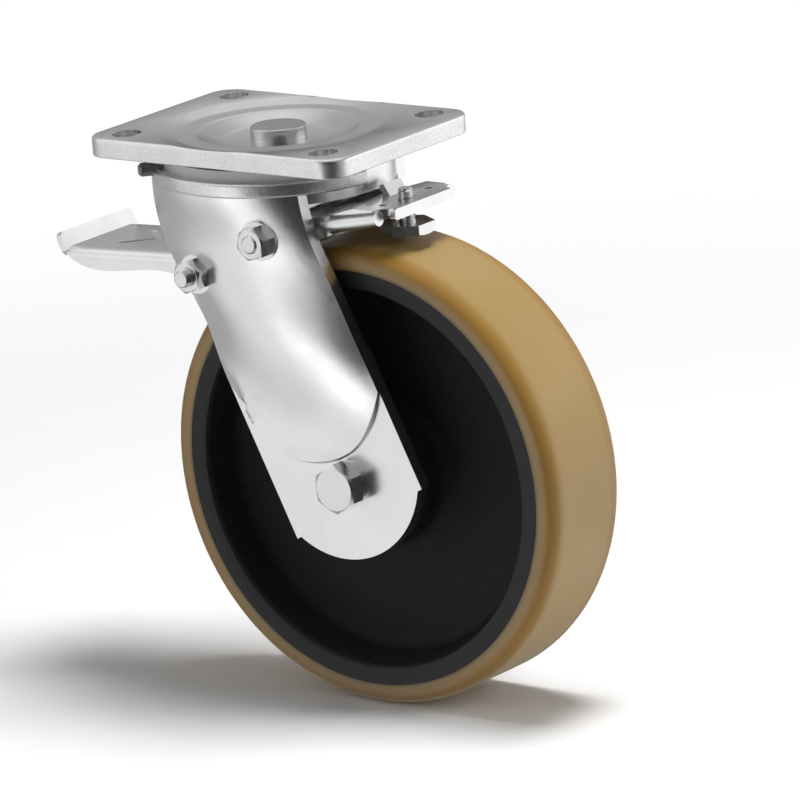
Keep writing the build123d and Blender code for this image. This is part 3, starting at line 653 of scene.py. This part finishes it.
class CASTOR_OT_tyre(bpy.types.Operator):
    """Turn the tyre with its rounded shoulders"""

    bl_idname = "castor.tyre"
    bl_label = "Tyre"

    def execute(self, context):
        round_across, round_up = 7.0, 5.0
        middle = (WHEEL_HALF_WIDTH - round_across, WHEEL_RADIUS - round_up)
        right = [(WHEEL_HALF_WIDTH, RIM_RADIUS)]
        right += arc_points(middle, (round_across, round_up), 0, 90, 10)
        left = [(-x, r) for x, r in reversed(right)]
        piece = turned_piece("tyre_finished", right + left, sizes().turning_steps)
        smooth(piece, 40)
        dress(piece, "tyre", "wheel", "amber_tyre", "tyre")
        return {"FINISHED"}


class CASTOR_OT_wheel_centre(bpy.types.Operator):
    """Turn the cast wheel centre: rim, dished web and hub"""

    bl_idname = "castor.wheel_centre"
    bl_label = "Wheel Centre"

    def execute(self, context):
        right = [(26.8, 23.5), (26.8, 27.0), (26.0, 28.0), (13.5, 31.2)]
        right += arc_points((13.5, 36.2), (5.0, 5.0), 270, 190, 6)
        right += [(7.2, 52.0), (6.5, 66.0), (6.9, 72.0)]
        right += arc_points((13.2, 73.5), (6.2, 6.5), 170, 105, 8)
        right += [(23.2, 82.9), (24.6, 83.5)]
        right += [(WHEEL_HALF_WIDTH, 84.3), (WHEEL_HALF_WIDTH, RIM_RADIUS)]
        left = [(-x, r) for x, r in reversed(right)]
        bore = [(-12.2, 23.5), (-12.2, 19.5), (12.2, 19.5), (12.2, 23.5)]
        outline = right + left + bore
        piece = turned_piece("wheel_centre_finished", outline, sizes().turning_steps)
        smooth(piece, 40)
        dress(piece, "casting", "wheel", "black_casting", "wheel_centre")
        return {"FINISHED"}


# Lines of the leaning legs, in metres, and where their front edges are eased
LEG_SLOPE = 0.46265
LEG_FOOT = (-0.0509, -0.145)
LEG_FRONT = 0.0427
FOOT_FACE = 0.0345
SHEET_THICKNESS = 0.006
EASE_TOP = -0.062
EASE_RUN = 0.018
EASE_ROOM = 0.006
BULGE_LEAN = 0.5
DOME_SIDE = -0.1157
DOME_RUN = 0.016
EDGE_BAND = (0.004, 0.006)
WING_WIDTH = 0.0031
WING_ENDS = (-0.102, -0.084)
WING_LEAN = 0.45


def between(value, low, high):
    """Share of the way from one value to another, kept between 0 and 1."""
    return min(1.0, max(0.0, (value - low) / (high - low)))


def ease_leg_edges(piece):
    """Lean the front edge of each leg's bulge down to the flat foot, the sheet keeping its thickness."""
    outward = [vertex.normal.x * vertex.co.x > 0 for vertex in piece.data.vertices]
    for vertex, outer in zip(piece.data.vertices, outward):
        x, y, z = vertex.co
        if z > EASE_TOP:
            continue
        middle = LEG_FOOT[0] + LEG_SLOPE * (z - LEG_FOOT[1])
        front = middle + LEG_FRONT - y
        inside = max(0.0, front)
        begun = between(z, EASE_TOP, EASE_TOP - EASE_RUN)
        slope = BULGE_LEAN
        if z > DOME_SIDE:
            slope *= between(z, DOME_SIDE, DOME_SIDE + DOME_RUN)
            slope += (BULGE_LEAN - slope) * between(inside, *EDGE_BAND)
        limit = FOOT_FACE + slope * inside + EASE_ROOM * (1.0 - begun)
        wing = WING_WIDTH * between(z, *WING_ENDS)
        lean = WING_LEAN * begun * max(0.0, wing - front)
        if not outer:
            limit -= SHEET_THICKNESS
        reach = min(abs(x), limit) - lean
        vertex.co.x = reach if x > 0 else -reach


class CASTOR_OT_sheet_parts(bpy.types.Operator):
    """Copy and finish the fork, the plate, the pedal and the brake arm"""

    bl_idname = "castor.sheet_parts"
    bl_label = "Plate and Pressed Parts"

    def execute(self, context):
        rows = (
            ("top_plate", "base", "plate"),
            ("fork", "swivel", "fork"),
            ("pedal", "pedal_lever", "sheet"),
            ("brake_arm", "brake_lever", "sheet"),
        )
        for node, body, finish_name in rows:
            piece = copy_of_solid(node, node + "_finished")
            if node == "fork":
                ease_leg_edges(piece)
            smooth(piece, 32)
            dress(piece, finish_name, body, "zinc_sheet", node)
        return {"FINISHED"}


# Bolt, the piece its thread comes out of, the way the thread points, body, turn and thread radius
BOLTS = (
    ("arm_bolt", "arm_nut", "-X", "swivel", 0.0, 0.004),
    ("pedal_bolt", "pedal_nut", "-X", "swivel", 0.0, 0.004),
    ("axle_bolt", "axle_nut", "X", "swivel", 20.0, 0.006),
    ("brake_screw", "brake_arm", "Z", "brake_lever", 30.0, 0.0036),
)
THREAD_IN_NUT = 0.002
SCREW_HEAD_HEIGHT = 0.0055
ROD_OVERLAP = 0.0005


def thread_end(node, nut, towards):
    """End of a bolt's thread, the way it points and the length to cut."""
    low, high = (Vector(corner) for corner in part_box(node))
    nut_low, nut_high = (Vector(corner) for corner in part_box(nut))
    middle = (low + high) / 2
    if towards == "-X":
        end = Vector((low.x, middle.y, middle.z))
        return end, Vector((-1.0, 0.0, 0.0)), nut_low.x - low.x + THREAD_IN_NUT
    if towards == "X":
        end = Vector((high.x, middle.y, middle.z))
        return end, Vector((1.0, 0.0, 0.0)), high.x - nut_high.x + THREAD_IN_NUT
    end = Vector((middle.x, middle.y, high.z))
    return end, Vector((0.0, 0.0, 1.0)), high.z - low.z - SCREW_HEAD_HEIGHT


class CASTOR_OT_bolts(bpy.types.Operator):
    """Cut the threads on the ends of the pivot bolts, the axle bolt and the brake screw"""

    bl_idname = "castor.bolts"
    bl_label = "Threaded Bolts"

    def execute(self, context):
        for node, nut, towards, body, turn, radius in BOLTS:
            end, way, length = thread_end(node, nut, towards)
            solid = copy_of_solid(node, node + "_finished")
            cut_end(solid, end - way * (length - ROD_OVERLAP), way)
            rod = threaded_rod(node + "_thread", radius, -length, 0.0)
            stand(rod, end, towards)
            piece = joined(solid, rod)
            axis = "Z" if towards == "Z" else "X"
            bpy.ops.transform.rotate(value=radians(turn), orient_axis=axis, center_override=end)
            bpy.ops.object.transform_apply(location=True, rotation=True, scale=True)
            smooth(piece, 28)
            dress(piece, "fastener", body, "zinc_fastener", node)
        return {"FINISHED"}


class CASTOR_OT_solid_finishes(bpy.types.Operator):
    """Give the solid parts that stay as they are their finishes"""

    bl_idname = "castor.solid_finishes"
    bl_label = "Finishes of Solid Parts"

    def execute(self, context):
        by_slot = {
            "zinc_sheet": "sheet",
            "zinc_fastener": "fastener",
            "bearing_steel": "ground_steel",
            "grey_seal": "seal",
            "dark_steel": "dark_steel",
            "black_casting": "casting",
            "amber_tyre": "tyre",
        }
        for part in frame["record"]["subparts"]:
            node = frame["nodes"][part["node"]]
            node.data.materials.clear()
            chosen = "pin" if part["node"] == "kingpin" else by_slot[part["material_slot"]]
            node.data.materials.append(finish(chosen))
        return {"FINISHED"}


# Studio

CAMERA_PLACE = (-2.40587, -1.90679, 0.68500)
CAMERA_HEADING = -142.408
CAMERA_HEIGHT_ANGLE = 14.785
CAMERA_ROLL = -4.186
CAMERA_LENS = 332.58
FLOOR_HEIGHT = -0.245

# Soft lights: name, place, size and power, all turned to one place on the castor
LIGHTS_TARGET = (0.0, -0.03, -0.12)
LIGHTS = (
    ("overhead_light", (0.18, -0.24, 1.5), 0.6, 29.0),
    ("left_light", (-1.3, 0.9, 0.6), 1.0, 4.0),
    ("right_light", (0.5, -1.5, 0.5), 1.0, 8.0),
)

# Quarters of the studio that the metal mirrors: heading, height, inner and outer angle, brightness added
MIRRORED_BASE = 0.40
MIRRORED_QUARTERS = (
    (143.0, -10.0, 12.0, 48.0, 0.43),
    (162.0, -12.0, 4.0, 18.0, 0.34),
    (174.0, -34.0, 9.0, 28.0, 0.48),
    (118.0, 38.0, 12.0, 36.0, 0.42),
    (-36.0, -8.0, 22.0, 46.0, 0.76),
    (37.0, 80.0, 20.0, 48.0, 0.50),
    (37.0, 30.0, 3.0, 8.0, 0.50),
    (37.0, 2.0, 4.0, 10.0, -0.28),
    (-140.0, -10.0, 33.0, 43.0, -0.37),
)


def studio_world():
    """Pale surround: white to the eye, with soft dark and light quarters in reflections."""
    world = bpy.data.worlds.new("studio")
    bpy.context.scene.world = world
    world.use_nodes = True
    tree = world.node_tree
    tree.nodes.clear()
    ray = add_node(tree, "ShaderNodeLightPath")
    way = add_node(tree, "ShaderNodeTexCoord").outputs["Generated"]
    lit = MIRRORED_BASE
    for heading, height, inner, outer, added in MIRRORED_QUARTERS:
        az, el = radians(heading), radians(height)
        middle = (cos(az) * cos(el), sin(az) * cos(el), sin(el))
        dot = add_node(
            tree, "ShaderNodeVectorMath", {0: way, 1: middle}, operation="DOT_PRODUCT"
        ).outputs["Value"]
        part = smooth_step(tree, dot, cos(radians(outer)), cos(radians(inner)), 0.0, added)
        lit = maths(tree, "ADD", part, lit)
    mirrored = add_node(tree, "ShaderNodeCombineColor", {0: lit, 1: lit, 2: lit}).outputs[0]
    seen = colour_mix(tree, ray.outputs["Is Camera Ray"], (0.20, 0.20, 0.20, 1.0), (1.0, 1.0, 1.0, 1.0))
    shown = colour_mix(tree, ray.outputs["Is Glossy Ray"], seen, mirrored)
    backdrop = add_node(tree, "ShaderNodeBackground", {"Color": shown, "Strength": 1.0})
    out = add_node(tree, "ShaderNodeOutputWorld")
    tree.links.new(backdrop.outputs[0], out.inputs["Surface"])


def floor_finish():
    """Matt white floor that reflections look past, glowing white far out."""
    material, tree, shader = new_material("studio_floor")
    place = add_node(tree, "ShaderNodeTexCoord").outputs["Object"]
    grain = add_node(
        tree, "ShaderNodeTexNoise", {"Vector": place, "Scale": 30.0, "Detail": 3.0}
    ).outputs["Fac"]
    base = colour_mix(tree, grain, (0.86, 0.86, 0.86, 1.0), (0.88, 0.88, 0.88, 1.0))
    tree.links.new(base, shader.inputs["Base Color"])
    shader.inputs["Roughness"].default_value = 0.9
    shader.inputs["Specular IOR Level"].default_value = 0.1
    flat = add_node(
        tree, "ShaderNodeVectorMath", {0: place, 1: (1.0, 1.0, 0.0)}, operation="MULTIPLY"
    ).outputs["Vector"]
    reach = add_node(tree, "ShaderNodeVectorMath", {0: flat}, operation="LENGTH").outputs["Value"]
    glow = add_node(tree, "ShaderNodeEmission", {"Color": (1.0, 1.0, 1.0, 1.0), "Strength": 1.0})
    lit = add_node(
        tree,
        "ShaderNodeMixShader",
        {0: smooth_step(tree, reach, 0.30, 0.90), 1: shader.outputs[0], 2: glow.outputs[0]},
    )
    ray = add_node(tree, "ShaderNodeLightPath")
    clear = add_node(tree, "ShaderNodeBsdfTransparent")
    blend = add_node(
        tree,
        "ShaderNodeMixShader",
        {0: ray.outputs["Is Glossy Ray"], 1: lit.outputs[0], 2: clear.outputs[0]},
    )
    tree.links.new(blend.outputs[0], tree.nodes["Material Output"].inputs["Surface"])
    return material


def soft_light(name, place, target, size, power):
    """Square soft light at a place, turned to a target."""
    nothing_selected()
    way = Vector(target) - Vector(place)
    bpy.ops.object.light_add(
        type="AREA", location=place, rotation=way.to_track_quat("-Z", "Y").to_euler()
    )
    lamp = bpy.context.object
    lamp.name = name
    lamp.data.shape = "SQUARE"
    lamp.data.size = size
    lamp.data.energy = power
    lamp.visible_glossy = False
    return lamp


class CASTOR_OT_studio(bpy.types.Operator):
    """Set the floor, the soft lights and the camera"""

    bl_idname = "castor.studio"
    bl_label = "Studio"

    def execute(self, context):
        nothing_selected()
        bpy.ops.mesh.primitive_plane_add(size=24.0, location=(0.0, 0.0, FLOOR_HEIGHT))
        floor = context.object
        floor.name = "studio_floor"
        floor.data.materials.append(floor_finish())
        studio_world()
        for name, place, size, power in LIGHTS:
            soft_light(name, place, LIGHTS_TARGET, size, power)
        nothing_selected()
        bpy.ops.object.camera_add(location=CAMERA_PLACE)
        camera = context.object
        camera.name = "studio_camera"
        az, el, roll = (radians(a) for a in (CAMERA_HEADING, CAMERA_HEIGHT_ANGLE, CAMERA_ROLL))
        back = Vector((cos(az) * cos(el), sin(az) * cos(el), sin(el)))
        level = Vector((-sin(az), cos(az), 0.0))
        upright = back.cross(level)
        right = level * cos(roll) + upright * sin(roll)
        up = back.cross(right)
        camera.rotation_euler = Matrix((right, up, back)).transposed().to_euler()
        camera.data.lens = CAMERA_LENS
        camera.data.sensor_width = 36.0
        camera.data.clip_end = 50.0
        context.scene.camera = camera
        context.scene.view_settings.view_transform = "Standard"
        return {"FINISHED"}


# Panel and start

class CASTOR_PT_panel(bpy.types.Panel):
    """List of the castor's pieces"""

    bl_label = "Swivel Castor"
    bl_idname = "CASTOR_PT_panel"
    bl_space_type = "VIEW_3D"
    bl_region_type = "UI"
    bl_category = "Castor"

    def draw(self, context):
        for operator in OPERATORS:
            self.layout.operator(operator.bl_idname)


OPERATORS = (
    CASTOR_OT_solid_finishes,
    CASTOR_OT_tyre,
    CASTOR_OT_wheel_centre,
    CASTOR_OT_sheet_parts,
    CASTOR_OT_bolts,
    CASTOR_OT_studio,
)
GROUPS = (CastorSizes, CastorColours)


def register():
    """Add the settings, the operators and the panel."""
    for kind in GROUPS + OPERATORS + (CASTOR_PT_panel,):
        bpy.utils.register_class(kind)
    bpy.types.Scene.castor_sizes = PointerProperty(type=CastorSizes)
    bpy.types.Scene.castor_colours = PointerProperty(type=CastorColours)


def unregister():
    """Take away the settings, the operators and the panel."""
    del bpy.types.Scene.castor_colours
    del bpy.types.Scene.castor_sizes
    for kind in reversed(GROUPS + OPERATORS + (CASTOR_PT_panel,)):
        bpy.utils.unregister_class(kind)


def main():
    """Build every piece in order."""
    register()
    for operator in OPERATORS:
        group, name = operator.bl_idname.split(".")
        getattr(getattr(bpy.ops, group), name)()


if __name__ == "__main__":
    main()
